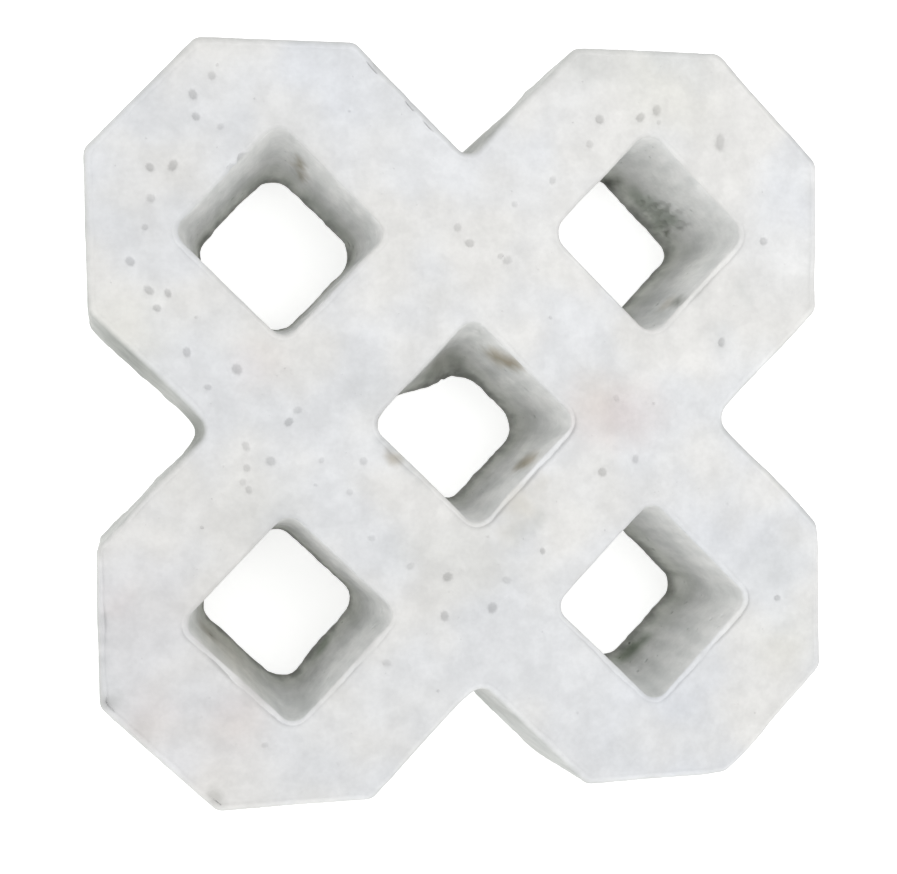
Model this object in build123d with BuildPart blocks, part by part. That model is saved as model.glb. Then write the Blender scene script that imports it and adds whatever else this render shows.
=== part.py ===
"""Concrete grass paver: four octagonal lobes cast as one block, with diamond openings for soil and grass."""

import os

from build123d import *

# Driving sizes in millimetres and degrees
lobe_width = 130.0
paver_thickness = 60.0
outline_corner_radius = 4.0
outer_wall_draft = 1.3
opening_width = 51.0
opening_corner_radius = 6.5
opening_wall_draft = 3.6
arris_radius = 2.0

# The lobes are regular octagons that meet along a side, so their centres are one lobe apart
lobe_sides = 8
lobe_turn = 180.0 / lobe_sides
lobe_centres = GridLocations(lobe_width, lobe_width, 2, 2).locations
paver_centre = Location((0, 0))
diamond_turn = 45.0
base_plane = Plane.XY
face_plane = Plane.XY.offset(paver_thickness)

# The shape of one opening: a diamond at the smooth face that narrows towards the base
with BuildPart() as opening_core:
    with BuildSketch(face_plane):
        Rectangle(opening_width, opening_width, rotation=diamond_turn)
    extrude(amount=-paver_thickness)
    core_walls = opening_core.faces() - opening_core.faces().filter_by(Axis.Z)
    draft(core_walls, neutral_plane=face_plane, angle=-opening_wall_draft)
    core_ends = opening_core.faces().filter_by(Axis.Z)
    core_corners = opening_core.edges() - core_ends.edges()
    fillet(core_corners, radius=opening_corner_radius)

with BuildPart() as grass_paver:
    # Four octagons in a square, with the diamond gap between them filled in
    with BuildSketch(base_plane) as outline:
        with Locations(lobe_centres):
            lobe = RegularPolygon(lobe_width / 2, lobe_sides, major_radius=False, rotation=lobe_turn)
        lobe_side = lobe.edges()[0].length
        Rectangle(lobe_side, lobe_side, rotation=diamond_turn)
        fillet(outline.vertices(), radius=outline_corner_radius)

    # The block is cast face down, so its walls lean in towards the smooth face
    extrude(amount=paver_thickness, taper=outer_wall_draft)

    # One opening where the four lobes meet, and one in the middle of each lobe
    with Locations(paver_centre, *lobe_centres):
        add(opening_core.part, mode=Mode.SUBTRACT)

    # The mould rounds every edge of the smooth face
    smooth_face = grass_paver.faces().sort_by(Axis.Z)[-1]
    fillet(smooth_face.edges(), radius=arris_radius)

grass_paver.part.label = "grass_paver"

os.makedirs("parts", exist_ok=True)
export_step(grass_paver.part, "parts/grass_paver.step")
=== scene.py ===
"""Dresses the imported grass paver: a block of cast concrete with worn edges, air pits, chips and stains."""

import math
import random

import bpy
import numpy as np
from mathutils import Euler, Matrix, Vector, noise
from mathutils.geometry import delaunay_2d_cdt


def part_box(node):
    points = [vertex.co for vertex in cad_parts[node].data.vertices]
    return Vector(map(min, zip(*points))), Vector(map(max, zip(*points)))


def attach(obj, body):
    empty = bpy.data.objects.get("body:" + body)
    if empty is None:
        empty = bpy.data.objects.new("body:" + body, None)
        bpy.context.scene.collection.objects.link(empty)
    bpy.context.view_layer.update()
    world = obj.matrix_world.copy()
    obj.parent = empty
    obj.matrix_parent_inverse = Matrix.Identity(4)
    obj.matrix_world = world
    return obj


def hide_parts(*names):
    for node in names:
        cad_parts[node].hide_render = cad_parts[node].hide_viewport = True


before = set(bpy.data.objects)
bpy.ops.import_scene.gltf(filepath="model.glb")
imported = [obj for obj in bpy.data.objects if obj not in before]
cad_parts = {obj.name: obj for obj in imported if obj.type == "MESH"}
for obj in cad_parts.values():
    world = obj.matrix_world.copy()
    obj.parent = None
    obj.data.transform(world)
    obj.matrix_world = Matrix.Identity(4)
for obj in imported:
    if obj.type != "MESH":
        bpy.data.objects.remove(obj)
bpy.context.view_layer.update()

MM = 0.001
NODE = "grass_paver"

# Sizes of the block in millimetres, the overall ones from the frame. A root is a corner that points into the
# block, the lean is that of the outline over the whole height, and the break is the broken edge at the base
box_low, box_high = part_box(NODE)
PAVER_WIDTH = (box_high.x - box_low.x) / MM
THICKNESS = (box_high.z - box_low.z) / MM
LOBE_WIDTH = PAVER_WIDTH / 2
OUTLINE_CORNER_RADIUS = {"face": 6.5, "base": 4.5}
OUTLINE_ROOT_RADIUS = 4.0
OUTER_WALL_LEAN = 1.29
OPENING_HALF_WIDTH = {"face": 25.8, "base": 22.3}
OPENING_CORNER_RADIUS = {"face": 5.5, "base": 7.5}
ARRIS_RADIUS = {"outline": 2.3, "opening": 1.25}
BASE_BREAK = 0.5

# Mesh spacing in millimetres, steps round a corner and over an arris, and the least radius of a corner
RING_STEP = 1.0
FACE_STEP = 2.3
WALL_STEP = 2.6
BASE_STEP = 2.8
CORNER_STEPS = 7
ARRIS_STEPS = 5
SHARPEST_CORNER = 0.8

# How far grid points are moved at random and how far they keep from the edges of their net, as shares of the
# mesh spacing, and how far apart in millimetres two points are at least
GRID_JITTER = 0.2
NET_MARGIN = 0.55
BASE_NET_MARGIN = 0.5
NET_TOLERANCE = 1e-7

# How many points are compared at a time, and where the random numbers start
CHUNK = 1000
SEED = 20

# The photograph's frame, and the camera that took it, in millimetres and degrees
PHOTO_WIDTH, PHOTO_HEIGHT = 897, 874
CAMERA_PLACE = (-113.5, -2.6, 530.4)
CAMERA_TURN = (-2.24, -11.737, -1.194)
LENS = 56.25
SENSOR = 36.0
SHIFT = (0.0202, 0.0618)

# Air pits that the photograph shows on the face, from deep to faint: pixel column, pixel row and width in
# millimetres, and for a long one how many times as tall it is
AIR_PITS = {
    "deep": (
        (193, 94, 3.4), (196, 116, 2.9), (150, 167, 3.0), (173, 165, 3.6), (130, 261, 3.3),
        (149, 290, 3.3), (168, 293, 2.8), (157, 308, 2.8), (187, 352, 3.2), (237, 369, 3.8),
        (289, 422, 3.1), (600, 119, 3.4), (641, 117, 3.3), (657, 110, 3.0, 1.6), (764, 241, 3.1),
        (722, 342, 3.2), (470, 243, 3.3), (603, 472, 3.4), (448, 577, 3.5), (445, 616, 3.5),
        (493, 608, 3.9), (778, 598, 2.6), (543, 551, 2.3), (721, 142, 3.4, 2.1),
    ),
    "shallow": (
        (212, 75, 3.0), (151, 198, 3.1), (145, 227, 2.4), (208, 387, 2.4), (298, 410, 3.0),
        (246, 446, 3.2), (247, 468, 2.8), (271, 461, 3.6), (249, 490, 2.8), (364, 461, 3.0),
        (590, 144, 3.0), (553, 180, 2.9), (458, 227, 3.1), (508, 260, 3.5), (501, 256, 2.4),
        (636, 459, 3.0),
    ),
    "faint": (
        (221, 126, 2.5), (243, 482, 2.6), (322, 460, 2.4), (350, 492, 2.6), (659, 122, 2.0),
        (515, 204, 2.5), (617, 398, 2.8), (581, 410, 2.5), (507, 580, 3.4), (372, 538, 2.7),
        (411, 566, 2.9), (387, 663, 3.3), (265, 745, 2.4),
    ),
}

# Depth of each kind as a share of its width
PIT_DEPTH = {"deep": 0.32, "shallow": 0.23, "faint": 0.18}

# A rough patch on the wall of the back right opening: pixel column, pixel row and reach in millimetres
ROUGH_PATCH = ((648, 205, 4.5), (657, 211, 5.5), (667, 217, 5.5), (676, 223, 4.0), (662, 227, 4.5))
ROUGH_STEP = 1.0

# How high the patch's lumps are in millimetres, how much taller than wide, and the depth at which its
# painted shade is full
ROUGH_RELIEF = 0.9
ROUGH_TALLNESS = 2.2
ROUGH_DARK = 0.28

# The roughness at which the patch begins, and the most that a random pit may have round it
ROUGH_EDGE = 0.1
ROUGH_CLEAR = 0.05

# Chips on the arrises: pixel column, pixel row, radius and depth in millimetres
CHIPS = (
    (111, 703, 2.9, 0.6), (217, 800, 2.9, 0.6), (372, 70, 3.2, 0.4), (408, 108, 3.2, 0.35),
    (427, 128, 2.8, 0.35), (243, 158, 2.4, 1.1), (233, 167, 2.2, 0.6),
)

# Where a wall stands out (or back, below zero) near the base: pixel column and row at the base, then amount,
# width and height in millimetres
SWELLS = (
    (431, 376, 8.0, 9.0, 14.0),
    (450, 366, 4.6, 6.0, 14.0),
    (449, 502, -1.2, 5.0, 60.0),
    (274, 181, 0.9, 9.0, 30.0),
    (207, 239, 0.8, 6.0, 30.0),
    (392, 410, -2.8, 6.0, 60.0),
    (298, 672, -1.8, 7.0, 30.0),
    (108, 528, -1.3, 20.0, 60.0),
    (177, 448, -1.9, 9.0, 45.0),
    (155, 472, -1.0, 11.0, 45.0),
    (133, 497, -1.4, 12.0, 45.0),
    (112, 349, 0.6, 8.0, 30.0),
    (494, 122, -0.9, 13.0, 30.0),
    (520, 94, -0.8, 13.0, 30.0),
    (543, 70, -0.5, 13.0, 30.0),
    (484, 701, 0.7, 12.0, 45.0),
    (517, 731, 0.7, 12.0, 45.0),
    (548, 757, 0.8, 12.0, 45.0),
    (572, 772, 0.9, 12.0, 45.0),
)


def add_object(name, data):
    obj = bpy.data.objects.new(name, data)
    bpy.context.scene.collection.objects.link(obj)
    return obj


def make_camera():
    data = bpy.data.cameras.new("camera")
    data.lens = LENS
    data.sensor_width = SENSOR
    data.shift_x, data.shift_y = SHIFT
    camera = add_object("camera", data)
    camera.location = Vector(CAMERA_PLACE) * MM
    camera.rotation_euler = Euler([math.radians(a) for a in CAMERA_TURN])
    bpy.context.scene.camera = camera


def sight_line(column, row):
    """The direction from the camera to what the photograph shows at that pixel."""
    ray = Vector((
        (column - PHOTO_WIDTH / 2) / PHOTO_WIDTH + SHIFT[0],
        (PHOTO_HEIGHT / 2 - row) / PHOTO_WIDTH + SHIFT[1],
        -LENS / SENSOR,
    ))
    return Euler([math.radians(a) for a in CAMERA_TURN]).to_matrix() @ ray


def seen_at(column, row, height=THICKNESS):
    """The place (x, y) in millimetres that the photograph shows at that pixel, if it lies at that height."""
    ray = sight_line(column, row)
    place = Vector(CAMERA_PLACE)
    place += ray * (height - place.z) / ray.z
    return place.x, place.y


# How far apart two kinds of noise are taken
NOISE_ASIDE = (17.3, 5.1, 9.7)


def ripple(place, size, which):
    """Smooth noise from about -1 to 1, with waves of that size in millimetres."""
    return 2.0 * noise.noise(Vector(place) / size + Vector([which * aside for aside in NOISE_ASIDE]))


def waves(place, kinds):
    """Several ripples together, each given as amount, size in millimetres and which noise."""
    return sum(amount * ripple(place, size, which) for amount, size, which in kinds)


class Opening:
    """One opening, with how far its own core stood off true when this block was cast."""

    def __init__(self, across, up, face, base, wider, joint_and_arris_light, rounder=(0.0, 0.0)):
        self.middle = (across * LOBE_WIDTH / 2, up * LOBE_WIDTH / 2)
        self.shift = {"face": face, "base": base}
        self.wider = dict(zip(("face", "base"), wider))
        self.rounder = dict(zip(("face", "base"), rounder))
        self.joint_and_arris_light = joint_and_arris_light

    def joint_and_arris_light_strength(self, out):
        """How clear the joint line is on the side that faces that way, and how much painted highlight its
        arris gets; where the line is faint, the arris gets painted shade.

        The four strengths start at the upper right and go on clockwise.
        """
        turn = (math.atan2(-out[0], -out[1]) / (math.pi / 2) - 0.5) % 4
        first = int(turn) % 4
        share = turn % 1
        return self.joint_and_arris_light[first] * (1 - share) + self.joint_and_arris_light[(first + 1) % 4] * share


# Each opening's joint strengths by side also set the painted highlight on its arris where strong and painted
# shade where faint
OPENINGS = {
    "centre": Opening(
        0, 0, (0.25, 0.25), (2.1, -1.4),
        wider=(0.2, -1.2), rounder=(0.0, 1.8), joint_and_arris_light=(0.2, 1.0, 0.4, 0.05)),
    "back_left": Opening(
        -1, 1, (0.1, 0.0), (3.3, -0.4),
        wider=(0.1, -0.1), rounder=(0.0, 1.2), joint_and_arris_light=(0.05, 0.3, 0.3, 0.1)),
    "back_right": Opening(
        1, 1, (0.0, 0.6), (-0.5, 0.7),
        wider=(0.0, -0.4), rounder=(1.2, -1.2), joint_and_arris_light=(0.15, 0.6, 0.2, 0.05)),
    "front_left": Opening(
        -1, -1, (0.05, -0.05), (1.1, -0.6),
        wider=(0.3, -0.5), rounder=(0.0, 0.5), joint_and_arris_light=(0.05, 0.6, 0.8, 0.05)),
    "front_right": Opening(
        1, -1, (-0.6, 0.2), (0.7, -0.3),
        wider=(0.2, -1.0), joint_and_arris_light=(0.2, 1.0, 0.4, 0.1)),
}


def rounded_outline(corners, radius, side_steps, inset=0.0, root_radius=None):
    """Points and outward normals round a polygon, the block on the left of each side, with filleted corners.

    With an inset, the line lies that far inside the block. Corners that point into the block may have a root
    radius of their own.
    """
    root_radius = root_radius or radius
    count = len(corners)
    corners = [Vector(c) for c in corners]
    arcs = []
    for i, corner in enumerate(corners):
        way_in = (corner - corners[i - 1]).normalized()
        way_out = (corners[(i + 1) % count] - corner).normalized()
        out_before = Vector((way_in.y, -way_in.x))
        out_after = Vector((way_out.y, -way_out.x))
        turn = math.atan2(way_in.cross(way_out), way_in.dot(way_out))
        bend = max(radius - inset, SHARPEST_CORNER) if turn > 0 else -(root_radius + inset)
        centre = corner - (inset + bend) * (out_before + out_after) / (1 + out_before.dot(out_after))
        start = math.atan2(out_before.y, out_before.x)
        arc = []
        for k in range(CORNER_STEPS + 1):
            angle = start + turn * k / CORNER_STEPS
            out = Vector((math.cos(angle), math.sin(angle)))
            arc.append((centre + bend * out, out))
        arcs.append(arc)
    points, normals = [], []
    for i, arc in enumerate(arcs):
        for point, out in arc:
            points.append(point)
            normals.append(out)
        first, last = arc[-1][0], arcs[(i + 1) % count][0][0]
        for k in range(1, side_steps):
            points.append(first.lerp(last, k / side_steps))
            normals.append(arc[-1][1])
    return np.array(points), np.array(normals)


class Wall:
    """A drafted wall that runs right round, ruled from a line at the base to a line at the face."""

    def __init__(self, base, face, out, way_out=None):
        self.base, self.face, self.out = base, face, out
        self.way_out = out if way_out is None else way_out
        middle = (base + face) / 2
        steps = np.linalg.norm(np.roll(middle, -1, axis=0) - middle, axis=1)
        self.along = np.concatenate([[0.0], np.cumsum(steps)])
        self.length = self.along[-1]
        self.count = len(base)

    def place(self, s, z, inset=0.0):
        """The points s round the wall at height z, set into the block by the inset, and their normals."""
        i = np.clip(np.searchsorted(self.along, s, side="right") - 1, 0, self.count - 1)
        t = ((s - self.along[i]) / (self.along[i + 1] - self.along[i]))[:, None]
        j = (i + 1) % self.count
        base = self.base[i] * (1 - t) + self.base[j] * t
        face = self.face[i] * (1 - t) + self.face[j] * t
        out = self.out[i] * (1 - t) + self.out[j] * t
        out /= np.linalg.norm(out, axis=1)[:, None]
        way_out = self.way_out[i] * (1 - t) + self.way_out[j] * t
        rise = (z / THICKNESS)[:, None]
        return base * (1 - rise) + face * rise - way_out * np.reshape(inset, (-1, 1)), out


# How far inside the outline the innermost line beside it lies
MOST_INSET = 6.0

# Where the outline stands further out (or in, below zero): pixel column and row at the face, then the amount
# and the width in millimetres
OUTLINE_SHIFTS = (
    (590, 51, 0.65, 16.0), (637, 52, 0.65, 16.0), (690, 54, 0.5, 16.0), (726, 66, 0.4, 8.0),
    (816, 290, -0.8, 10.0), (776, 358, -0.35, 13.0), (745, 388, -0.8, 12.0), (726, 416, -0.3, 10.0),
    (747, 448, -0.7, 13.0), (817, 522, -0.7, 6.0), (725, 771, -0.6, 6.0), (750, 744, 0.5, 9.0),
    (490, 124, 0.85, 10.0), (516, 98, 0.85, 10.0), (158, 396, -0.3, 14.0), (145, 484, 0.5, 12.0),
    (765, 110, 0.35, 20.0), (471, 690, 0.7, 4.0), (194, 424, 0.7, 4.0),
)


def outer_wall():
    """The outline of four octagonal lobes, leaning in towards the face."""
    half, cut = PAVER_WIDTH / 2, LOBE_WIDTH * (1 - math.sqrt(0.5))
    quarter = [(-cut, half), (0, half - cut), (cut, half), (half - cut, half), (half, half - cut)]
    corners = []
    for turn in range(4):
        for x, y in quarter:
            for _ in range(turn):
                x, y = y, -x
            corners.append((x, y))
    corners.reverse()
    side_steps = round(LOBE_WIDTH * (math.sqrt(2) - 1) / RING_STEP)
    at_base, at_face = OUTLINE_CORNER_RADIUS["base"], OUTLINE_CORNER_RADIUS["face"]
    root = OUTLINE_ROOT_RADIUS
    base, out = rounded_outline(corners, at_base, side_steps, 0.0, root)
    face, _ = rounded_outline(corners, at_face, side_steps, OUTER_WALL_LEAN, root)
    inner, _ = rounded_outline(corners, at_face, side_steps, OUTER_WALL_LEAN + MOST_INSET, root)
    push = np.zeros(len(face))
    for column, row, amount, width in OUTLINE_SHIFTS:
        push += amount * np.exp(-((face - seen_at(column, row)) ** 2).sum(axis=1) / width ** 2)
    push = out * push[:, None]
    return Wall(base + push, face + push, out, (face - inner) / MOST_INSET)


def opening_wall(opening):
    """The wall of one diamond opening, which narrows towards the base."""
    lines = []
    ways = ((0, 1), (1, 0), (0, -1), (-1, 0))
    side_steps = round(2 * OPENING_HALF_WIDTH["face"] / RING_STEP)
    for level in ("base", "face"):
        half_width = OPENING_HALF_WIDTH[level] + opening.wider[level]
        middle = Vector(opening.middle) + Vector(opening.shift[level])
        corners = [middle + Vector(way) * half_width * math.sqrt(2) for way in ways]
        radius = OPENING_CORNER_RADIUS[level] + opening.rounder[level]
        points, out = rounded_outline(corners, radius, side_steps)
        lines.append(points)
    return Wall(lines[0], lines[1], out)


def inside(points, rings):
    """Which points are inside the outermost ring and outside the others."""
    crossings = np.zeros(len(points), int)
    for ring in rings:
        a, b = ring, np.roll(ring, -1, axis=0)
        for part in range(0, len(points), CHUNK):
            x, y = points[part:part + CHUNK, 0:1], points[part:part + CHUNK, 1:2]
            straddles = (a[:, 1] > y) != (b[:, 1] > y)
            with np.errstate(divide="ignore", invalid="ignore"):
                cross = (b[:, 0] - a[:, 0]) * (y - a[:, 1]) / (b[:, 1] - a[:, 1]) + a[:, 0]
            crossings[part:part + CHUNK] += (straddles & (x < cross)).sum(axis=1)
    return crossings % 2 == 1


def nearest(points, others):
    """Distance from each point to the nearest of the others."""
    far = np.empty(len(points))
    for part in range(0, len(points), CHUNK):
        gap = points[part:part + CHUNK, None, :] - others[None, :, :]
        far[part:part + CHUNK] = np.sqrt((gap ** 2).sum(axis=2).min(axis=1))
    return far


def scattered_grid(low, high, step, rng):
    """A jittered triangular grid of points over a rectangle."""
    points = []
    row = 0
    y = low[1]
    while y < high[1]:
        x = low[0] + (row % 2) * step / 2
        while x < high[0]:
            moved_x = x + rng.uniform(-GRID_JITTER, GRID_JITTER) * step
            moved_y = y + rng.uniform(-GRID_JITTER, GRID_JITTER) * step
            points.append((moved_x, moved_y))
            x += step
        y += step * math.sqrt(3) / 2
        row += 1
    return np.array(points)


def grid_between(low, high, rings, step, margin, rng):
    """The points of a grid that lie between the rings and clear of them."""
    grid = scattered_grid(low, high, step, rng)
    grid = grid[inside(grid, rings)]
    return grid[nearest(grid, np.concatenate(rings)) > step * margin]


class Block:
    """The block's vertices, their attributes and its triangles, in millimetres.

    The attributes say how much painted shade a hollow place gets, how far it belongs to an opening's wall or
    to an outer surface, and the painted highlight and shade of an arris.
    """

    ATTRIBUTES = ("hollow", "wall", "outer", "rim")

    def __init__(self):
        self.points, self.triangles = [], []
        self.values = {name: [] for name in self.ATTRIBUTES}
        self.count = 0

    def add(self, points, **values):
        first = self.count
        self.points.append(np.asarray(points, float))
        for name in self.ATTRIBUTES:
            self.values[name].append(np.broadcast_to(values.get(name, 0.0), len(points)))
        self.count += len(points)
        return np.arange(first, self.count)

    def strip(self, lower, upper):
        """Triangles between two rings of as many points."""
        a, b = lower, np.roll(lower, -1)
        c, d = np.roll(upper, -1), upper
        self.triangles.append(np.stack([a, b, c], axis=1))
        self.triangles.append(np.stack([a, c, d], axis=1))

    def net(self, flat, ids, rings, flip=False):
        """Fills the region between the rings: flat holds each point's place in the net, ids its vertex."""
        edges = [(int(r[k - 1]), int(r[k])) for r in rings for k in range(len(r))]
        _, _, faces, origin, _, _ = delaunay_2d_cdt([Vector(p) for p in flat], edges, [], 0, NET_TOLERANCE)
        first = np.array([o[0] for o in origin])
        tris = first[np.array(faces)]
        on_edge = np.zeros(len(flat), bool)
        on_edge[[k for r in rings for k in r]] = True
        doubtful = on_edge[tris].all(axis=1)
        middle = flat[tris[doubtful]].mean(axis=1)
        keep = np.ones(len(tris), bool)
        keep[doubtful] = inside(middle, [flat[r] for r in rings])
        tris = ids[tris[keep]]
        self.triangles.append(tris[:, ::-1] if flip else tris)

    def make_object(self, name):
        points = np.concatenate(self.points)
        points[:, 2] -= points[:, 2].min()
        mesh = bpy.data.meshes.new(name)
        mesh.from_pydata((points * MM).tolist(), [], np.concatenate(self.triangles).tolist())
        mesh.polygons.foreach_set("use_smooth", np.ones(len(mesh.polygons), bool))
        for attribute, values in self.values.items():
            layer = mesh.attributes.new(attribute, "FLOAT", "POINT")
            layer.data.foreach_set("value", np.concatenate(values))
        mesh.update()
        return add_object(name, mesh)


# A pit's section: share of its radius, share of its depth, and how much painted shade the place gets
PIT_SECTION = ((1.3, 0.0, 0.0), (1.0, 0.2, 0.4), (0.7, 0.7, 0.9), (0.35, 0.95, 1.0))
PIT_POINTS = 9
PIT_REACH = PIT_SECTION[0][0]

# How far a pit is stretched and its points are moved, and how deep it is where its painted shade is darkest,
# as shares of its radius
PIT_STRETCH = 0.22
PIT_JITTER = 0.06
DARK_PIT = 0.6

# What a pit keeps clear of other pits and of grid points: times its radius, and millimetres more. Then how
# many millimetres beyond its reach it keeps clear of the edges
PIT_SPACING = (1.4, 0.3)
GRID_SPACING = (1.25, 0.5)
EDGE_ROOM = {"seen": 0.3, "random": 0.9}

# How often a random pit looks for a place, and the power of a random number that makes most of them small
PIT_TRIES = 20
PIT_SMALLNESS = 3


def pit_points(pit, rng):
    """Places in the net, depths and painted shade of a pit's points. A pit is x, y, radius, depth, tallness.
    """
    x, y, radius, depth, tall = pit
    twist, stretch = rng.uniform(0, math.pi), rng.uniform(0.0, PIT_STRETCH)
    dark = min(1.0, depth / (DARK_PIT * radius))
    places, depths, hollow_shades = [(x, y)], [depth], [dark]
    for share, fall, hollow in PIT_SECTION:
        for k in range(PIT_POINTS):
            a = 2 * math.pi * k / PIT_POINTS + twist
            uneven = stretch * math.cos(2 * (a - twist)) + rng.uniform(-PIT_JITTER, PIT_JITTER)
            reach = radius * share * (1 + uneven)
            places.append((x + reach * math.cos(a), y + reach * tall * math.sin(a)))
            depths.append(depth * fall)
            hollow_shades.append(hollow * dark)
    return places, depths, hollow_shades


def spread_pits(count, pick_place, sizes, depths, taken, rng):
    """Pits at random places, clear of those already taken. The depths given are shares of the radius."""
    pits = []
    times, more = PIT_SPACING
    for _ in range(count):
        for _ in range(PIT_TRIES):
            radius = sizes[0] + (sizes[1] - sizes[0]) * rng.random() ** PIT_SMALLNESS
            x, y = pick_place(radius * PIT_REACH + EDGE_ROOM["random"])
            if x is None:
                continue
            if all(math.hypot(x - p[0], y - p[1]) > times * (radius + p[2] * p[4]) + more for p in taken):
                pit = (x, y, radius, radius * rng.uniform(*depths), 1.0)
                taken.append(pit)
                pits.append(pit)
                break
    return pits


def fill_net(block, ring_places, ring_ids, grid, pits, lift, rng, flip=False, rough=None, **values):
    """Meshes a region between rings with grid points and pits.

    lift turns net places and depths into points, and rough gives the depths of grid points.
    """
    rings, places, ids = [], [], []
    total = 0
    for ring, ring_id in zip(ring_places, ring_ids):
        rings.append(np.arange(total, total + len(ring)))
        places.append(ring)
        ids.append(ring_id)
        total += len(ring)
    inner, depths, hollow_shades = [], [], []
    for pit in pits:
        pit_places, pit_depths, pit_hollow_shades = pit_points(pit, rng)
        inner += pit_places
        depths += pit_depths
        hollow_shades += pit_hollow_shades
        gaps = np.hypot(grid[:, 0] - pit[0], (grid[:, 1] - pit[1]) / pit[4])
        grid = grid[gaps > pit[2] * GRID_SPACING[0] + GRID_SPACING[1]]
    inner = np.array(inner + [tuple(p) for p in grid])
    uneven = rough(grid) if rough else np.zeros(len(grid))
    depths = np.concatenate([depths, uneven])
    # Deep places of the rough patch get painted shade
    hollow_shades = np.concatenate([hollow_shades, np.clip(uneven / ROUGH_DARK, 0, 1)])
    places.append(inner)
    ids.append(block.add(lift(inner, depths), hollow=hollow_shades, **values))
    block.net(np.concatenate(places), np.concatenate(ids), rings, flip)


# Unevenness of each part as waves: amount, size in millimetres and which noise
FACE_WAVES = ((0.10, 34.0, 1), (0.04, 9.0, 2))
WALL_WAVES = ((0.12, 26.0, 3), (0.06, 7.0, 4), (0.03, 2.6, 5))
BASE_WAVES = ((0.30, 22.0, 6), (0.25, 6.0, 7), (0.12, 2.5, 8))
SPILL_WAVES = ((0.22, 9.0, 9), (0.16, 3.0, 10))
CHIP_WAVES = ((0.3, 2.0, 12),)
ARRIS_WAVES = ((0.22, 11.0, 13), (0.1, 3.0, 14))
BREAK_WAVES = ((0.8, 4.0, 15),)
JOINT_WAVES = ((0.5, 12.0, 16),)
ROUGH_WAVES = ((1.0, 3.0, 20), (0.6, 1.5, 20))

# How far the face lies below the full thickness, how far the underside lies above the ground, and how high
# the spill along the foot of the walls reaches, in millimetres
FACE_DROP = 0.12
BASE_LIFT = 0.35
SPILL_HEIGHT = 3.0

# How large the broken edge at the base is, and how uneven the underside is beside it, as shares
BREAK_SHARE = 1.2
BASE_EDGE_SHARE = 0.5

# How far a chip cuts back and down on the arris, and down beside it, as shares of its depth
CHIP_BACK = 0.6
CHIP_DOWN = 0.7
CHIP_BESIDE = 0.6


def face_height(x, y):
    """The smooth face's height, a little uneven from the mould."""
    return THICKNESS - FACE_DROP + waves((x, y, 0.0), FACE_WAVES)


def base_height(x, y):
    """The underside's height above the ground: it was struck off by hand, so only its high places touch."""
    return max(0.0, BASE_LIFT + waves((x, y, 0.0), BASE_WAVES))


def wall_relief(p, swells):
    """How far a wall stands out at a point: waves of the mould, spill near the base, and the swells."""
    out = waves(p, WALL_WAVES) + math.exp(-p[2] / SPILL_HEIGHT) * waves(p, SPILL_WAVES)
    for x, y, amount, width, height in swells:
        out += amount * math.exp(-((p[0] - x) ** 2 + (p[1] - y) ** 2) / width ** 2 - (p[2] / height) ** 2)
    return out


def chip_depth(p, chips):
    """How deep the chips cut at a point on an arris."""
    deep = 0.0
    for x, y, radius, depth in chips:
        gap = math.hypot(p[0] - x, p[1] - y) / (radius * (1 + waves(p, CHIP_WAVES)))
        if gap < 1:
            deep = max(deep, depth * (1 - gap * gap))
    return deep


# Rings of the joint line inside an arris: distance past it, depth, and how much painted shade it gets
JOINT_LINE = ((0.1, 0.0, 0.0), (0.35, 0.35, 1.0), (0.7, 0.35, 1.0), (1.0, 0.05, 0.6), (2.0, 0.0, 0.0))

# How many random pits there are, their radii and the lowest one's height in millimetres, and their depths as
# shares of their radii
OUTER_WALL_PITS = 160
OPENING_WALL_PITS = 34
SMALL_FACE_PITS = 110
WALL_PIT_SIZES = (0.3, 1.1)
WALL_PIT_DEPTHS = (0.5, 1.0)
FACE_PIT_SIZES = (0.2, 0.7)
FACE_PIT_DEPTHS = (0.2, 0.45)
LOWEST_PIT = 4.0

# Sides of the outline where the arris is narrower and its line clearer: pixel column, pixel row, reach in
# millimetres and strength
WORN_SIDES = ((101, 620, 36.0, 1.0), (140, 95, 30.0, 0.4), (814, 240, 22.0, 0.4), (142, 497, 18.0, 0.6))

# How much narrower the arris is there in millimetres, and the joint line's strength elsewhere and there
NARROWER = 0.45
FAINT_JOINT = 0.14
CLEAR_JOINT = 0.5

# How uneven the outline's arris is, as a share of how uneven those of the openings are
OUTLINE_WEAR = 0.4

# Painted highlight and shade on the outline's arris: its own tone, how much more to the right and to the
# back, and how much less on the side between the two
OUTLINE_TONE = 0.6
OUTLINE_TONE_BY_WAY = (0.9, -0.8)
OUTLINE_TONE_BETWEEN = 4.0

# The most that a tone can be, either way
MOST_TONE = 2.0

# How near the wall's top and foot a pixel's place on it is looked for, in millimetres
SEARCH_MARGIN = 2.0


def outline_arris_light_and_shade(out):
    """Painted highlight and shade on the outline's arris by the way it faces: lighter where it faces right
    and front, darker where it faces back, darkest back right.
    """
    between = np.maximum(0.0, out.sum(axis=1) - 1)
    return OUTLINE_TONE + out @ OUTLINE_TONE_BY_WAY - OUTLINE_TONE_BETWEEN * between


def softness(place, spots):
    """How near a place on the face is to the spots, from 0 to the strength of the nearest."""
    near = 0.0
    for column, row, reach, strength in spots:
        x, y = seen_at(column, row)
        near = max(near, strength * math.exp(-((place[0] - x) ** 2 + (place[1] - y) ** 2) / reach ** 2))
    return near


def outline_joint_strength(place):
    return FAINT_JOINT + (CLEAR_JOINT - FAINT_JOINT) * softness(place, WORN_SIDES)


def roughness(net, spots):
    """How rough a wall is at places of its net, from 0 to 1. A spot is a place in the net and its reach."""
    near = np.zeros(len(net))
    for s, z, reach in spots:
        gap = ((net[:, 0] - s) ** 2 + ((net[:, 1] - z) / ROUGH_TALLNESS) ** 2) / reach ** 2
        near = np.maximum(near, np.exp(-gap ** 2))
    return near


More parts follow.
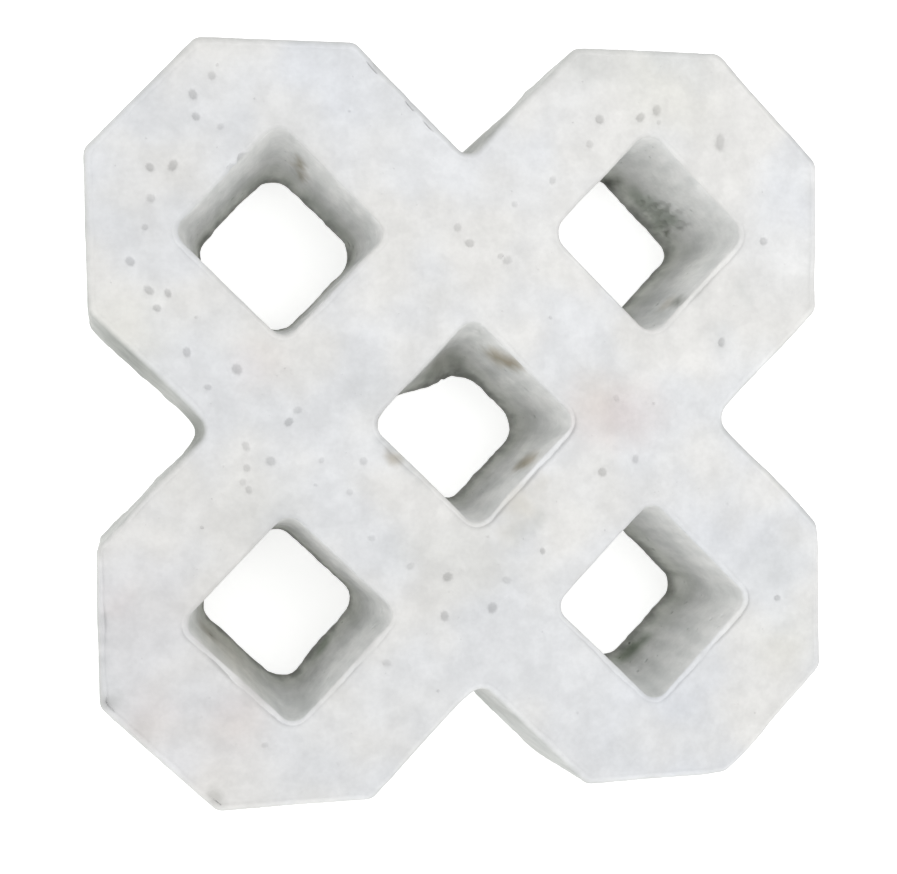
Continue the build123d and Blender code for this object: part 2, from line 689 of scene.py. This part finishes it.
class WallMaker:
    """Builds one wall with its arris at the face and its broken edge at the base."""

    def __init__(self, block, wall, opening, chips, swells, rng):
        self.block, self.wall, self.opening = block, wall, opening
        self.chips, self.swells, self.rng = chips, swells, rng
        self.s = wall.along[:-1]
        flat, self.out = wall.place(self.s, np.full(len(self.s), THICKNESS))
        wear = 1.0 if opening else OUTLINE_WEAR
        worn = [1 + wear * waves((x, y, 0), ARRIS_WAVES) for x, y in flat]
        broken = [BREAK_SHARE + waves((x, y, 5), BREAK_WAVES) for x, y in flat]
        self.radius = ARRIS_RADIUS["opening" if opening else "outline"] * np.array(worn)
        self.break_size = BASE_BREAK * np.array(broken)
        clear = [opening.joint_and_arris_light_strength(n) if opening else outline_joint_strength(p)
                 for n, p in zip(self.out, wall.face)]
        uneven = [max(0.0, 1 + waves((x, y, 0), JOINT_WAVES)) for x, y in wall.face]
        self.joint_and_arris_light = np.array(clear) * np.array(uneven)
        if not opening:
            self.radius -= NARROWER * np.array([softness(p, WORN_SIDES) for p in wall.face])

    def side(self, share=1.0):
        """The attributes of a point on this wall, or partly on it."""
        return {"wall": share} if self.opening else {"outer": share}

    def raised(self, places, z, out):
        """Wall points with their relief."""
        result = []
        for (x, y), h, n in zip(places, z, out):
            push = wall_relief((x, y, h), self.swells)
            result.append((x + n[0] * push, y + n[1] * push, h))
        return np.array(result)

    def arris(self):
        """Rings from the wall up over the arris to the face."""
        rings = []
        # Painted highlight and shade on the arris: from the joint strength on the openings, from the way it
        # faces on the outline
        tone = 2 * self.joint_and_arris_light - 1 if self.opening else outline_arris_light_and_shade(self.out)
        for k in range(ARRIS_STEPS + 1):
            a = math.pi / 2 * k / ARRIS_STEPS
            z = THICKNESS - self.radius * (1 - math.sin(a))
            places, out = self.wall.place(self.s, z, self.radius * (1 - math.cos(a)))
            ring = self.raised(places, z, out * math.cos(a))
            cuts = np.array([chip_depth(p, self.chips) for p in ring])
            for i, (x, y, h) in enumerate(ring):
                drop = (THICKNESS - face_height(x, y)) * math.sin(a)
                back = CHIP_BACK * cuts[i] * out[i]
                ring[i] = (x - back[0], y - back[1], h - drop - CHIP_DOWN * cuts[i])
            rim = np.clip(tone, -MOST_TONE, MOST_TONE) * math.sin(2 * a)
            # On the outline the lower part of the arris takes the outer walls' darker colour, painted shade
            share = float(k == 0) if self.opening else math.cos(a) ** 2
            # Chips get painted shade by how deep they cut
            rings.append(self.block.add(ring, rim=rim, hollow=np.minimum(cuts, 1.0), **self.side(share)))
        for lower, upper in zip(rings, rings[1:]):
            self.block.strip(lower, upper)
        face_places = self.wall.place(self.s, np.full(len(self.s), THICKNESS), self.radius)[0]
        return rings[0], rings[-1], face_places

    def joint_line(self, ring):
        """The faint line that the joint of the mould left inside the arris, with painted shade in its
        groove.
        """
        for extra, deep, dark in JOINT_LINE:
            places = self.wall.place(self.s, np.full(len(self.s), THICKNESS), self.radius + extra)[0]
            cuts = [CHIP_BESIDE * chip_depth((x, y, THICKNESS), self.chips) for x, y in places]
            sunk = [(x, y, face_height(x, y) - deep * strength - cut)
                    for (x, y), strength, cut in zip(places, self.joint_and_arris_light, cuts)]
            lower, ring = ring, self.block.add(sunk, hollow=self.joint_and_arris_light * dark)
            self.block.strip(lower, ring)
        return ring, places

    def base_edge(self):
        """The broken edge at the base: its ring on the wall and its ring on the underside."""
        places, out = self.wall.place(self.s, self.break_size)
        low_ring = self.block.add(self.raised(places, self.break_size, out), **self.side())
        ground = np.zeros(len(self.s))
        places, out = self.wall.place(self.s, ground, self.break_size)
        under = self.raised(places, ground, out)
        under[:, 2] = [base_height(x, y) * BASE_EDGE_SHARE for x, y, _ in under]
        base_ring = self.block.add(under, **self.side())
        self.block.strip(base_ring, low_ring)
        return low_ring, base_ring, under[:, :2]

    def sheet(self, low_ring, top_ring, pit_count):
        """The wall between its edges, as a net of distance round it and height."""
        length = self.wall.length
        z_low, z_top = self.break_size, THICKNESS - self.radius
        seam_steps = max(2, round((z_top[0] - z_low[0]) / WALL_STEP))
        seam_z = np.linspace(z_low[0], z_top[0], seam_steps + 1)[1:-1]
        start = np.zeros(len(seam_z))
        places, out = self.wall.place(start, seam_z)
        seam = self.block.add(self.raised(places, seam_z, out), **self.side())
        ring = np.concatenate([
            np.column_stack([self.s, z_low]),
            [(length, z_low[0])],
            np.column_stack([start + length, seam_z]),
            [(length, z_top[0])],
            np.column_stack([self.s, z_top])[::-1],
            np.column_stack([start, seam_z])[::-1],
        ])
        ids = np.concatenate([low_ring, low_ring[:1], seam, top_ring[:1], top_ring[::-1], seam[::-1]])
        low, high = (0, BASE_BREAK), (length, THICKNESS - ARRIS_RADIUS["opening"])
        grid = grid_between(low, high, [ring], WALL_STEP, NET_MARGIN, self.rng)

        def pick(margin):
            z = self.rng.uniform(LOWEST_PIT, z_top.min() - margin)
            return self.rng.uniform(margin, length - margin), z

        def lift(net, depths):
            places, out = self.wall.place(net[:, 0], net[:, 1])
            points = self.raised(places, net[:, 1], out)
            points[:, :2] -= out * depths[:, None]
            return points

        pits = spread_pits(pit_count, pick, WALL_PIT_SIZES, WALL_PIT_DEPTHS, [], self.rng)
        if self.opening is not OPENINGS["back_right"]:
            fill_net(self.block, [ring], [ids], grid, pits, lift, self.rng, **self.side())
            return
        spots = [(*self.spot(column, row), reach) for column, row, reach in ROUGH_PATCH]
        fine = grid_between(low, high, [ring], ROUGH_STEP, NET_MARGIN, self.rng)
        fine = fine[roughness(fine, spots) > ROUGH_EDGE]
        grid = np.concatenate([grid[roughness(grid, spots) <= ROUGH_EDGE], fine])
        pits = [pit for pit in pits if roughness(np.array([pit[:2]]), spots)[0] < ROUGH_CLEAR]

        def rough(net):
            uneven = [waves((s, z / ROUGH_TALLNESS, 0.0), ROUGH_WAVES) for s, z in net]
            return ROUGH_RELIEF * roughness(net, spots) * np.array(uneven)

        fill_net(self.block, [ring], [ids], grid, pits, lift, self.rng, rough=rough, **self.side())

    def spot(self, column, row):
        """Where on this wall the photograph's pixel lies, as distance round it and height."""
        spots = []
        for z in np.arange(SEARCH_MARGIN, THICKNESS - SEARCH_MARGIN):
            places, _ = self.wall.place(self.s, np.full(len(self.s), z))
            gaps = np.linalg.norm(places - seen_at(column, row, z), axis=1)
            spots.append((gaps.min(), self.s[gaps.argmin()], z))
        return min(spots)[1:]

    def build(self):
        """Makes the wall and returns its ring on the face and on the underside, each with its places."""
        wall_top, face_ring, face_places = self.arris()
        face_ring, face_places = self.joint_line(face_ring)
        low_ring, base_ring, base_places = self.base_edge()
        self.sheet(low_ring, wall_top, OPENING_WALL_PITS if self.opening else OUTER_WALL_PITS)
        return (face_ring, face_places), (base_ring, base_places)


def build_face(block, ids, places, rng):
    """The smooth face, with the air pits that the photograph shows and some small ones."""
    half = PAVER_WIDTH / 2
    edge = np.concatenate(places)
    grid = grid_between((-half, -half), (half, half), places, FACE_STEP, NET_MARGIN, rng)

    def pick(margin):
        spot = np.array([[rng.uniform(-half, half), rng.uniform(-half, half)]])
        if inside(spot, places)[0] and nearest(spot, edge)[0] > margin:
            return tuple(spot[0])
        return None, None

    def lift(net, depths):
        return np.array([(x, y, face_height(x, y) - d) for (x, y), d in zip(net, depths)])

    seen = [(*seen_at(column, row), width / 2, PIT_DEPTH[kind] * width, *(tall or [1.0]))
            for kind, pits in AIR_PITS.items() for column, row, width, *tall in pits]
    gaps = nearest(np.array([p[:2] for p in seen]), edge)
    seen = [p for p, gap in zip(seen, gaps) if gap > PIT_REACH * p[2] * p[4] + EDGE_ROOM["seen"]]
    pits = seen + spread_pits(SMALL_FACE_PITS, pick, FACE_PIT_SIZES, FACE_PIT_DEPTHS, list(seen), rng)
    fill_net(block, places, ids, grid, pits, lift, rng)


def build_underside(block, ids, places, rng):
    half = PAVER_WIDTH / 2
    grid = grid_between((-half, -half), (half, half), places, BASE_STEP, BASE_NET_MARGIN, rng)

    def lift(net, depths):
        return np.array([(x, y, base_height(x, y)) for x, y in net])

    fill_net(block, places, ids, grid, [], lift, rng, flip=True, outer=1.0)


def build_block():
    """The whole casting as one closed mesh."""
    rng = random.Random(SEED)
    block = Block()
    chips = [(*seen_at(column, row), radius, depth) for column, row, radius, depth in CHIPS]
    swells = [(*seen_at(column, row, 0.0), *sizes) for column, row, *sizes in SWELLS]
    walls = [(outer_wall(), None)] + [(opening_wall(opening), opening) for opening in OPENINGS.values()]
    made = [WallMaker(block, wall, opening, chips, swells, rng).build() for wall, opening in walls]
    faces, bases = zip(*made)
    build_face(block, *map(list, zip(*faces)), rng)
    build_underside(block, *map(list, zip(*bases)), rng)
    return block.make_object("cast_block")


# How far, in millimetres, noise shifts the edge of a mark, and the size of that noise. Marks are stains,
# painted shade and painted light
MARK_SHIFT = 2.0
MARK_RAGGED = 5.0

# Where a mark ends and over how much it fades, as shares of its radius
MARK_END = 1.3
MARK_FADE = 1.2


def add_marks(paver):
    """Writes a colour for each vertex: what the soft, ragged marks leave of the concrete's own colour. Most
    marks are stains; the SHADE marks and some grey spots are painted shade, and the pale marks painted
    light.
    """
    mesh = paver.data
    count = len(mesh.vertices)
    places, wall, outer = np.empty(count * 3), np.empty(count), np.empty(count)
    mesh.vertices.foreach_get("co", places)
    mesh.attributes["wall"].data.foreach_get("value", wall)
    mesh.attributes["outer"].data.foreach_get("value", outer)
    places = places.reshape(-1, 3) / MM
    # Without a seed, noise_vector differs from run to run
    noise.seed_set(SEED)
    shift = np.array([noise.noise_vector(Vector(p) / MARK_RAGGED) for p in places])
    places = places + MARK_SHIFT * shift
    on_wall = wall + outer
    colours = np.ones((count, 4))
    camera = Vector(CAMERA_PLACE) * MM
    for marks, there in ((FACE_MARKS, 1 - on_wall), (WALL_MARKS, on_wall)):
        for mark_colour, column, row, width, height, strength in marks:
            hit, spot, _, _ = paver.ray_cast(camera, sight_line(column, row))
            if not hit:
                raise ValueError(f"no concrete at {column}, {row}")
            offset = (places - np.array(spot) / MM) * (2 / width, 2 / width, 2 / height)
            share = np.clip((MARK_END - np.linalg.norm(offset, axis=1)) / MARK_FADE, 0, 1)
            share = share * share * (3 - 2 * share) * strength * there
            colours[:, :3] *= 1 - share[:, None] * (1 - np.array(mark_colour))
    mesh.attributes.new("mark_colour", "FLOAT_COLOR", "POINT").data.foreach_set("color", colours.ravel())


# How far apart two noise textures are taken, in millimetres
TEXTURE_ASIDE = (190.0, 130.0, 70.0)


class Nodes:
    """Builds a shader from small steps. A value may be a number, a colour or another node's output."""

    def __init__(self, tree):
        self.tree = tree

    def add(self, kind, inputs, output=0, **settings):
        node = self.tree.nodes.new(kind)
        for name, value in settings.items():
            setattr(node, name, value)
        for key, value in inputs.items():
            if isinstance(value, bpy.types.NodeSocket):
                self.tree.links.new(value, node.inputs[key])
            else:
                node.inputs[key].default_value = value
        return node.outputs[output]

    def math(self, operation, a, b=0.0):
        return self.add("ShaderNodeMath", {0: a, 1: b}, operation=operation)

    def vector(self, operation, a, b=(0.0, 0.0, 0.0)):
        return self.add("ShaderNodeVectorMath", {0: a, 1: b}, operation=operation)

    def scaled(self, a, factor):
        return self.add("ShaderNodeVectorMath", {0: a, "Scale": factor}, operation="SCALE")

    def noise(self, place, size, which, detail):
        """Noise with waves of that size in millimetres, from 0 to 1."""
        aside = self.vector("ADD", place, [which * far for far in TEXTURE_ASIDE])
        return self.add("ShaderNodeTexNoise", {"Vector": aside, "Scale": 1 / size, "Detail": detail}, "Fac")

    def between(self, value, low, high, start=0.0, end=1.0):
        """Runs smoothly from start to end as the value goes from low to high."""
        inputs = {"Value": value, "From Min": low, "From Max": high, "To Min": start, "To Max": end}
        return self.add("ShaderNodeMapRange", inputs, interpolation_type="SMOOTHSTEP")

    def mix(self, share, a, b, blend="MIX"):
        return self.add("ShaderNodeMix", {0: share, 6: a, 7: b}, 2, data_type="RGBA", blend_type=blend)

    def attribute(self, name, output="Fac"):
        return self.add("ShaderNodeAttribute", {}, output, attribute_name=name)


# Colours of the concrete and its stains, with painted light and shade
PASTE = (0.673, 0.675, 0.675, 1)
# Painted light: the openings' walls are the same concrete made lighter than the face, for the light the deep
# openings lack
OPENING_WALL_LIT = (0.81, 0.812, 0.80, 1)
WALL_FOOT = (1.0, 1.02, 0.95, 1)
# Painted shade: the outer surfaces are the same concrete made darker, against the light the glowing table
# throws on them
OUTER_WALL_SHADED = (0.50, 0.505, 0.49, 1)
WHITE = (1, 1, 1, 1)
COOL = (0.982, 0.993, 1.012, 1)
WARM = (1.01, 1.0, 0.978, 1)
PINK = (0.94, 0.893, 0.88)
BLUE = (0.965, 0.98, 1.01)
YELLOW = (1.01, 1.01, 0.97)
BROWN = (0.90, 0.87, 0.80)
GREY = (0.87, 0.88, 0.88)
SHADE = (0.60, 0.61, 0.59)
RUST = (0.58, 0.53, 0.44)
MOSS = (0.45, 0.50, 0.43)
SOOT = (0.36, 0.37, 0.34)
# Painted light: lightens the face towards its right edge and places on the walls
PAINTED_LIGHT = (1.12, 1.12, 1.11)

# Stains on the face, with painted shade and painted light among them: colour, pixel column, pixel row, then
# width and height in millimetres and strength
FACE_MARKS = (
    (PINK, 597, 412, 30, 20, 1.0), (PINK, 634, 416, 28, 20, 1.0), (PINK, 258, 364, 22, 20, 0.6),
    (PINK, 150, 715, 24, 20, 0.6), (PINK, 238, 718, 24, 20, 0.7), (PINK, 118, 605, 14, 20, 0.5),
    (BLUE, 300, 92, 60, 20, 0.7), (BLUE, 115, 170, 34, 20, 0.7), (BLUE, 790, 240, 50, 20, 0.8),
    (BLUE, 730, 515, 44, 20, 0.7), (BLUE, 665, 735, 56, 20, 0.9), (BLUE, 560, 110, 34, 20, 0.5),
    (YELLOW, 672, 84, 44, 20, 0.6), (YELLOW, 120, 340, 40, 20, 0.6), (YELLOW, 785, 640, 30, 20, 0.6),
    (BROWN, 522, 505, 17, 20, 0.8), (BROWN, 512, 535, 12, 20, 0.5), (BROWN, 538, 482, 8, 20, 0.4),
    (GREY, 775, 570, 30, 20, 0.6), (GREY, 265, 512, 32, 20, 0.5), (GREY, 405, 552, 24, 20, 0.5),
    (GREY, 470, 560, 40, 20, 0.6), (GREY, 720, 335, 16, 20, 0.5), (GREY, 365, 385, 20, 20, 0.4),
    (GREY, 742, 286, 7, 10, 0.7), (GREY, 748, 297, 7, 10, 0.7), (GREY, 697, 297, 8, 10, 0.6),
    (PINK, 130, 620, 60, 20, 0.35), (PINK, 200, 745, 60, 20, 0.3), (GREY, 104, 680, 12, 20, 0.5),
    (RUST, 388, 455, 5, 8, 0.5), (RUST, 395, 461, 6, 8, 0.7), (SOOT, 112, 702, 8, 8, 0.36),
    (SOOT, 216, 797, 8, 8, 0.36), (GREY, 539, 511, 5, 10, 1.0), (GREY, 536, 521, 6, 10, 1.0),
    (GREY, 532, 531, 5, 10, 0.8), (GREY, 519, 530, 9, 10, 0.7), (GREY, 103, 640, 6, 6, 0.7),
    (GREY, 105, 660, 6, 6, 0.8), (GREY, 104, 620, 5, 6, 0.8), (SHADE, 101, 552, 4, 6, 0.4),
    # The grey spots from 383, 440 to 428, 490 are painted shade on the centre opening's lower left arris
    (GREY, 383, 440, 5, 6, 0.9), (GREY, 392, 450, 5, 6, 0.9), (GREY, 401, 460, 5, 6, 0.8),
    (GREY, 588, 62, 26, 20, 1.0), (GREY, 640, 64, 28, 20, 0.6), (PAINTED_LIGHT, 803, 268, 26, 20, 0.4),
    (PAINTED_LIGHT, 757, 360, 26, 20, 0.45), (GREY, 722, 425, 20, 20, 0.4), (GREY, 410, 470, 5, 6, 0.8),
    (GREY, 419, 480, 5, 6, 0.7), (GREY, 428, 490, 5, 6, 0.7),
)

# The same on the walls; the SHADE marks are painted shade and the pale marks painted light
WALL_MARKS = (
    (SHADE, 124, 350, 44, 150, 1.0), (SHADE, 163, 388, 24, 150, 0.25), (SHADE, 198, 432, 26, 150, 1.0),
    (SHADE, 489, 133, 18, 150, 0.6), (GREY, 118, 350, 34, 150, 0.4), (SHADE, 199, 430, 12, 150, 0.2),
    (BROWN, 218, 638, 30, 90, 0.8), (BROWN, 248, 671, 26, 90, 0.5), (GREY, 322, 209, 20, 40, 0.6),
    (PAINTED_LIGHT, 525, 449, 12, 20, 0.6), (PAINTED_LIGHT, 430, 374, 14, 60, 0.7), (GREY, 644, 634, 14, 20, 0.5),
    (SHADE, 498, 708, 14, 150, 0.3), (GREY, 523, 732, 60, 150, 0.8), (GREY, 290, 708, 50, 90, 1.0),
    (GREY, 217, 640, 40, 70, 1.0), (GREY, 650, 690, 40, 90, 0.8), (GREY, 640, 318, 30, 70, 0.6),
    (GREY, 372, 608, 30, 50, 0.7), (GREY, 322, 215, 40, 30, 1.0), (SOOT, 344, 234, 14, 14, 0.4),
    (RUST, 492, 354, 7, 18, 0.8), (RUST, 502, 360, 9, 24, 1.0), (RUST, 513, 365, 8, 18, 1.0),
    (RUST, 519, 466, 7, 14, 0.7), (RUST, 527, 461, 9, 20, 1.0), (SHADE, 470, 338, 4, 8, 0.3),
    (PAINTED_LIGHT, 525, 446, 16, 24, 1.0), (PAINTED_LIGHT, 478, 350, 20, 40, 0.6), (PAINTED_LIGHT, 510, 390, 16, 30, 0.9),
    (PAINTED_LIGHT, 695, 267, 26, 30, 0.9), (PAINTED_LIGHT, 661, 186, 24, 30, 0.6), (PAINTED_LIGHT, 674, 564, 24, 30, 0.9),
    (PAINTED_LIGHT, 163, 388, 24, 60, 0.5), (SHADE, 218, 639, 14, 24, 0.3), (SHADE, 322, 210, 14, 24, 0.3),
    (RUST, 299, 164, 5, 18, 1.0), (RUST, 301, 176, 5, 18, 0.9), (RUST, 668, 303, 9, 12, 0.5),
    (RUST, 208, 632, 12, 16, 0.5), (SOOT, 445, 362, 16, 26, 0.25), (SOOT, 430, 372, 12, 20, 0.25),
    (SOOT, 458, 366, 9, 20, 0.3), (RUST, 440, 360, 16, 26, 0.2), (SOOT, 608, 183, 8, 14, 0.9),
    (SOOT, 618, 181, 6, 10, 0.8), (SOOT, 679, 301, 7, 14, 0.9), (SOOT, 668, 235, 4, 7, 0.9),
    (SOOT, 670, 592, 9, 16, 0.5), (SOOT, 350, 205, 3, 7, 0.6), (MOSS, 648, 204, 8, 22, 0.6),
    (MOSS, 660, 212, 9, 24, 0.65), (MOSS, 672, 220, 8, 22, 0.65), (MOSS, 660, 226, 8, 20, 0.6),
    (MOSS, 636, 197, 8, 14, 0.6), (SOOT, 632, 649, 14, 20, 0.35), (MOSS, 625, 654, 11, 14, 1.0),
    (MOSS, 636, 645, 9, 16, 1.0), (MOSS, 646, 637, 7, 12, 0.6), (SOOT, 201, 242, 12, 16, 0.7),
    (SHADE, 630, 187, 12, 16, 0.5), (SOOT, 613, 181, 9, 14, 0.3), (MOSS, 320, 650, 9, 14, 0.8),
    (MOSS, 326, 641, 7, 12, 0.7),
)

# Unevenness of the tone: size of the noise in millimetres, which noise, its detail, the two values of it
# between which the tone changes, and the tone at each
TONES = (
    (26.0, 1, 2.0, 0.25, 0.75, 0.955, 1.035),
    (7.0, 2, 3.0, 0.3, 0.7, 0.95, 1.04),
    (1.6, 3, 1.0, 0.2, 0.8, 0.975, 1.02),
)

# The face is cool in places and warm in others: size of the noise in millimetres, and its values at the two
HUE_SIZE = 32.0
HUE_SPAN = (0.35, 0.65)

# Streaks down the walls: size in millimetres, the scale of the noise each way that draws them out, and its
# values between which they change
STREAK_SIZE = 6.0
STREAK_STRETCH = (1.0, 1.0, 0.3)
STREAK_SPAN = (0.3, 0.7)

# Painted shade and grime on the openings' walls, darker towards the base and a little towards the face: two
# heights in millimetres and the tone at each. The streaks shift the heights of the darkening, and the foot's
# tint ends at its height
BASE_GRIME_AND_SHADE = ((0.0, 13.0, 0.4, 1.0), (0.0, 50.0, 0.62, 1.0))
RIM_SHADE = (36.0, 58.0, 1.0, 0.93)
BASE_GRIME_AND_SHADE_SHIFT = 16.0
FOOT_HEIGHT = 30.0

# Painted highlight and shade on the arrises: the tones at the two ends of their range. Painted shade in
# hollows: the tones of level and hollow places
ARRIS_LIGHT_AND_SHADE_TONES = (0.87, 1.13)
HOLLOW_SHADE_TONES = (1.0, 0.86)

# The surface: roughness, shine, and the grain's size and depth in millimetres and strength
CONCRETE_ROUGHNESS = 0.92
CONCRETE_SHINE = 0.25
GRAIN_SIZE = 3.0
GRAIN_DEPTH = 0.3
GRAIN_STRENGTH = 0.6


def new_material(name, roughness, shine):
    material = bpy.data.materials.new(name)
    material.use_nodes = True
    shader = material.node_tree.nodes["Principled BSDF"]
    shader.inputs["Roughness"].default_value = roughness
    shader.inputs["Specular IOR Level"].default_value = shine
    return material, shader


def concrete():
    """Pale cast concrete, cloudy on the face, lightened on the openings' walls by painted light and darkened
    on the outer walls by painted shade; low on the openings' walls painted shade and grime darken it, and it
    is greener.
    """
    material, shader = new_material("cast_concrete", CONCRETE_ROUGHNESS, CONCRETE_SHINE)
    nodes = Nodes(material.node_tree)
    place = nodes.scaled(nodes.add("ShaderNodeTexCoord", {}, "Object"), 1 / MM)
    tone = 1.0
    for size, which, detail, *span in TONES:
        step = nodes.between(nodes.noise(place, size, which, detail), *span)
        tone = nodes.math("MULTIPLY", tone, step)
    hue = nodes.between(nodes.noise(place, HUE_SIZE, 4, 1.0), *HUE_SPAN)
    face = nodes.mix(1.0, PASTE, nodes.mix(hue, COOL, WARM), "MULTIPLY")

    height = nodes.add("ShaderNodeSeparateXYZ", {0: place}, 2)
    drawn_out = nodes.vector("MULTIPLY", place, STREAK_STRETCH)
    streak = nodes.noise(drawn_out, STREAK_SIZE, 5, 3.0)
    streaks = nodes.mix(nodes.between(streak, *STREAK_SPAN), (*GREY, 1), WHITE)
    shift = nodes.math("MULTIPLY", nodes.math("SUBTRACT", streak, 0.5), BASE_GRIME_AND_SHADE_SHIFT)
    uneven = nodes.math("ADD", height, shift)
    # Painted shade and grime towards the base, painted shade towards the face
    grime_and_shade = nodes.between(height, *RIM_SHADE)
    for span in BASE_GRIME_AND_SHADE:
        grime_and_shade = nodes.math("MULTIPLY", grime_and_shade, nodes.between(uneven, *span))
    tint = nodes.mix(nodes.between(uneven, 0.0, FOOT_HEIGHT), WALL_FOOT, WHITE)
    wall = nodes.mix(1.0, nodes.mix(1.0, OPENING_WALL_LIT, streaks, "MULTIPLY"), tint, "MULTIPLY")
    wall = nodes.scaled(wall, grime_and_shade)
    # The outer surfaces' darker colour is painted shade
    outer = nodes.mix(1.0, OUTER_WALL_SHADED, streaks, "MULTIPLY")

    colour = nodes.mix(nodes.attribute("wall"), face, wall)
    colour = nodes.mix(nodes.attribute("outer"), colour, outer)
    # Stains, painted shade and painted light from the vertex colours
    colour = nodes.mix(1.0, colour, nodes.attribute("mark_colour", "Color"), "MULTIPLY")
    colour = nodes.scaled(colour, tone)
    # Painted highlight and shade on the arrises, then painted shade in pits, grooves, chips and the rough
    # patch
    colour = nodes.scaled(colour, nodes.between(nodes.attribute("rim"), -MOST_TONE, MOST_TONE, *ARRIS_LIGHT_AND_SHADE_TONES))
    colour = nodes.scaled(colour, nodes.between(nodes.attribute("hollow"), 0.0, 1.0, *HOLLOW_SHADE_TONES))
    material.node_tree.links.new(colour, shader.inputs["Base Color"])

    grain = nodes.noise(place, GRAIN_SIZE, 8, 3.0)
    inputs = {"Strength": GRAIN_STRENGTH, "Distance": GRAIN_DEPTH * MM, "Height": grain}
    bump = nodes.add("ShaderNodeBump", inputs)
    material.node_tree.links.new(bump, shader.inputs["Normal"])
    return material


# The studio: a white table that glows a little, so that it stays white inside the openings
TABLE_SIZE = 4.0
TABLE_COLOUR = (0.92, 0.92, 0.92)
TABLE_GLOW = 0.62
TABLE_ROUGHNESS = 0.9
TABLE_SHINE = 0.0

# The sky's brightness overhead, how much brighter it is at the horizon, and how much more to the front left
SKY_OVERHEAD = 0.55
SKY_EXTRA = 0.8
SKY_FRONT_LEFT = 0.32
FRONT_LEFT = (-1.0, -1.0, 0.0)

# The lamp at the back right: where it hangs and how wide it is, in metres, and its power in watts
KEY_PLACE = (0.2, 0.15, 0.6)
KEY_SIZE = 0.4
KEY_POWER = 0.95


def make_table():
    material, shader = new_material("white_table", TABLE_ROUGHNESS, TABLE_SHINE)
    shader.inputs["Base Color"].default_value = (*TABLE_COLOUR, 1)
    shader.inputs["Emission Color"].default_value = (1, 1, 1, 1)
    shader.inputs["Emission Strength"].default_value = TABLE_GLOW
    half = TABLE_SIZE / 2
    mesh = bpy.data.meshes.new("table")
    corners = [(-half, -half, 0), (half, -half, 0), (half, half, 0), (-half, half, 0)]
    mesh.from_pydata(corners, [], [(0, 1, 2, 3)])
    mesh.materials.append(material)
    add_object("table", mesh)


def soft_light(name, place, size, power):
    """A round soft light that points at the paver."""
    data = bpy.data.lights.new(name, "AREA")
    data.shape = "DISK"
    data.size = size
    data.energy = power
    light = add_object(name, data)
    light.location = place
    light.rotation_euler = Vector(place).to_track_quat("Z", "Y").to_euler()


def make_lights():
    world = bpy.data.worlds.new("studio")
    world.use_nodes = True
    nodes = Nodes(world.node_tree)
    way = nodes.add("ShaderNodeTexCoord", {}, "Generated")
    up = nodes.add("ShaderNodeSeparateXYZ", {0: way}, 2)
    low = nodes.math("SUBTRACT", 1.0, nodes.math("MULTIPLY", up, up))
    aside = nodes.add("ShaderNodeVectorMath", {0: way, 1: FRONT_LEFT}, "Value", operation="DOT_PRODUCT")
    strength = nodes.math("ADD", nodes.math("MULTIPLY", low, SKY_EXTRA), SKY_OVERHEAD)
    strength = nodes.math("ADD", strength, nodes.math("MULTIPLY", aside, SKY_FRONT_LEFT))
    background = world.node_tree.nodes["Background"]
    background.inputs["Color"].default_value = (1, 1, 1, 1)
    world.node_tree.links.new(strength, background.inputs["Strength"])
    bpy.context.scene.world = world
    soft_light("key", KEY_PLACE, KEY_SIZE, KEY_POWER)
    bpy.context.scene.view_settings.view_transform = "Standard"


make_camera()
make_table()
make_lights()
paver = build_block()
add_marks(paver)
paver.data.materials.append(concrete())
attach(paver, "root")
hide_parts(NODE)
